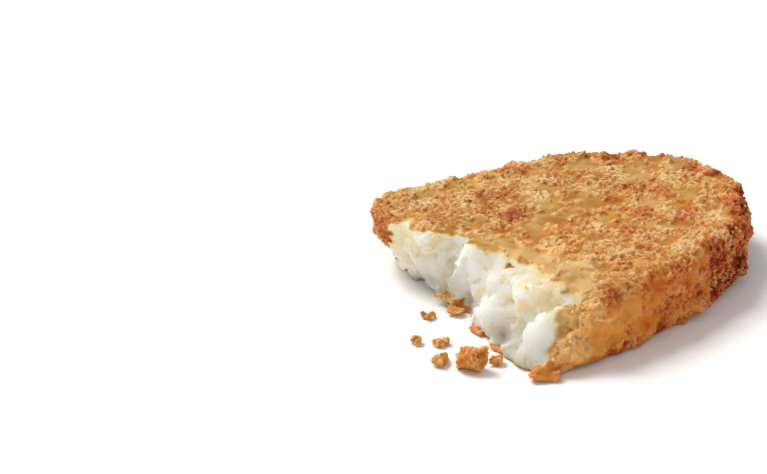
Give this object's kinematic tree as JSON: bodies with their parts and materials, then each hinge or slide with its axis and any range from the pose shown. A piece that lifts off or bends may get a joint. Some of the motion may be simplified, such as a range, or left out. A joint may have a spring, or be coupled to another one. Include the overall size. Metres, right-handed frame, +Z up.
{
  "type": "hash brown",
  "caption": "Half of an oval fried hash brown patty, broken across the middle, with a craggy golden crust and soft white potato in the break.",
  "frame": {"origin": "on the surface that the food lies on, below the middle of its bounding box", "axes": "+X along the patty from the broken end to the rounded end, +Z up, +Y across it"},
  "size_m": [0.0674, 0.0582, 0.0143],
  "materials": {
    "crust": "rough fried potato crust",
    "potato": "soft cooked potato"
  },
  "bodies": {
    "root": {"hash_brown": "crust"}
  },
  "joints": []
}
